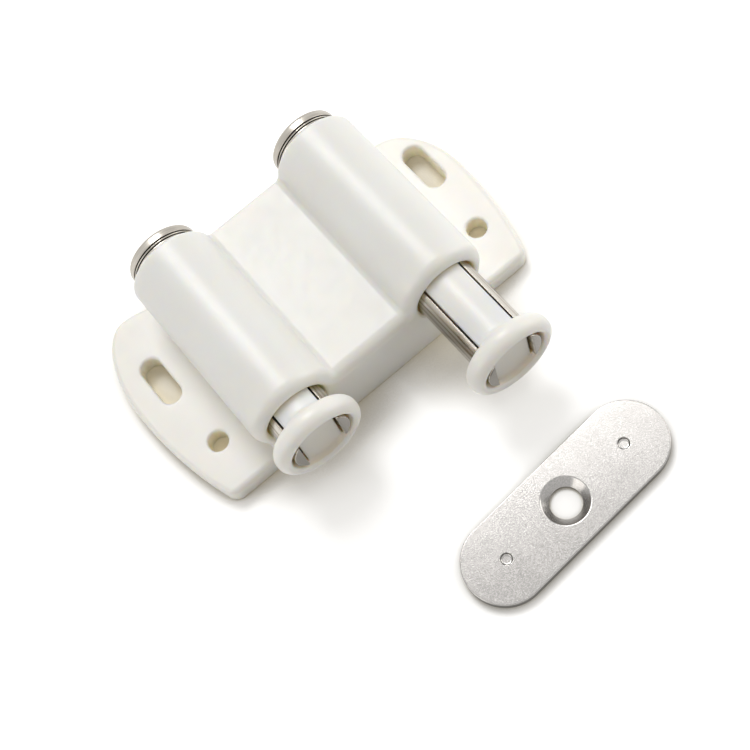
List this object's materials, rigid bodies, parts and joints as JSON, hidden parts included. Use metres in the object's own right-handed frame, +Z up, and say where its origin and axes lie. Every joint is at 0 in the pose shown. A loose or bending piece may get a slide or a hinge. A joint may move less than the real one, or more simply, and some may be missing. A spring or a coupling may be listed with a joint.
{
  "type": "touch latch",
  "caption": "Double magnetic push latch: winged ivory housing, sprung magnetic plungers that latch in and push out, with a loose countersunk strike plate.",
  "frame": {"origin": "middle of the housing's flat underside", "axes": "+Z up from the mounting surface, -Y out of the barrels' mouths towards the door, +X to the right seen from the front"},
  "size_m": [0.0768, 0.0907, 0.0227],
  "materials": {
    "ivory_plastic": "satin moulded",
    "white_plastic": "satin moulded",
    "bright_nickel": "bright nickel plate on steel",
    "satin_nickel": "satin nickel plate on steel",
    "spring_steel": "drawn wire",
    "magnet": "sintered"
  },
  "bodies": {
    "base": {"housing": "ivory_plastic", "rear_cap_left": "bright_nickel", "rear_cap_right": "bright_nickel", "return_spring_left": "spring_steel", "return_spring_right": "spring_steel"},
    "plunger_left": {"plunger_sleeve_left": "white_plastic", "pole_plate_inner_left": "bright_nickel", "pole_plate_outer_left": "bright_nickel", "magnet_left": "magnet", "latch_cam_left": "white_plastic", "cam_pin_left": "spring_steel"},
    "plunger_right": {"plunger_sleeve_right": "white_plastic", "pole_plate_inner_right": "bright_nickel", "pole_plate_outer_right": "bright_nickel", "magnet_right": "magnet", "latch_cam_right": "white_plastic", "cam_pin_right": "spring_steel"},
    "wire_left": {"latch_wire_left": "spring_steel"},
    "wire_right": {"latch_wire_right": "spring_steel"},
    "strike": {"strike_plate": "satin_nickel"}
  },
  "joints": [
    {"name": "plunger_left_slide", "type": "slide", "parent": "base", "child": "plunger_left", "axis": [0, -1, 0], "range_m": [-0.0022, 0.0112], "deforming": ["return_spring_left"]},
    {"name": "plunger_right_slide", "type": "slide", "parent": "base", "child": "plunger_right", "axis": [0, -1, 0], "range_m": [-0.0134, 0], "stiffness_N_per_m": 300, "springref_m": 0.0067, "deforming": ["return_spring_right"]},
    {"name": "wire_left_swing", "type": "hinge", "parent": "base", "child": "wire_left", "pos_m": [-0.01685, 0.01895, 0.01565], "axis": [0, 0, 1], "range_deg": [-1.4, 6.7]},
    {"name": "wire_right_swing", "type": "hinge", "parent": "base", "child": "wire_right", "pos_m": [0.01685, 0.01895, 0.01565], "axis": [0, 0, 1], "range_deg": [-8, 0.1]},
    {"name": "strike_lift", "type": "slide", "parent": "base", "child": "strike", "axis": [0, 0, 1], "range_m": [0, 0.03]}
  ],
  "couplings": [
    {"joint": "wire_left_swing", "follows": "plunger_left_slide", "rad_per_m": 10.175},
    {"joint": "wire_right_swing", "follows": "plunger_right_slide", "rad_per_m": 10.175}
  ]
}
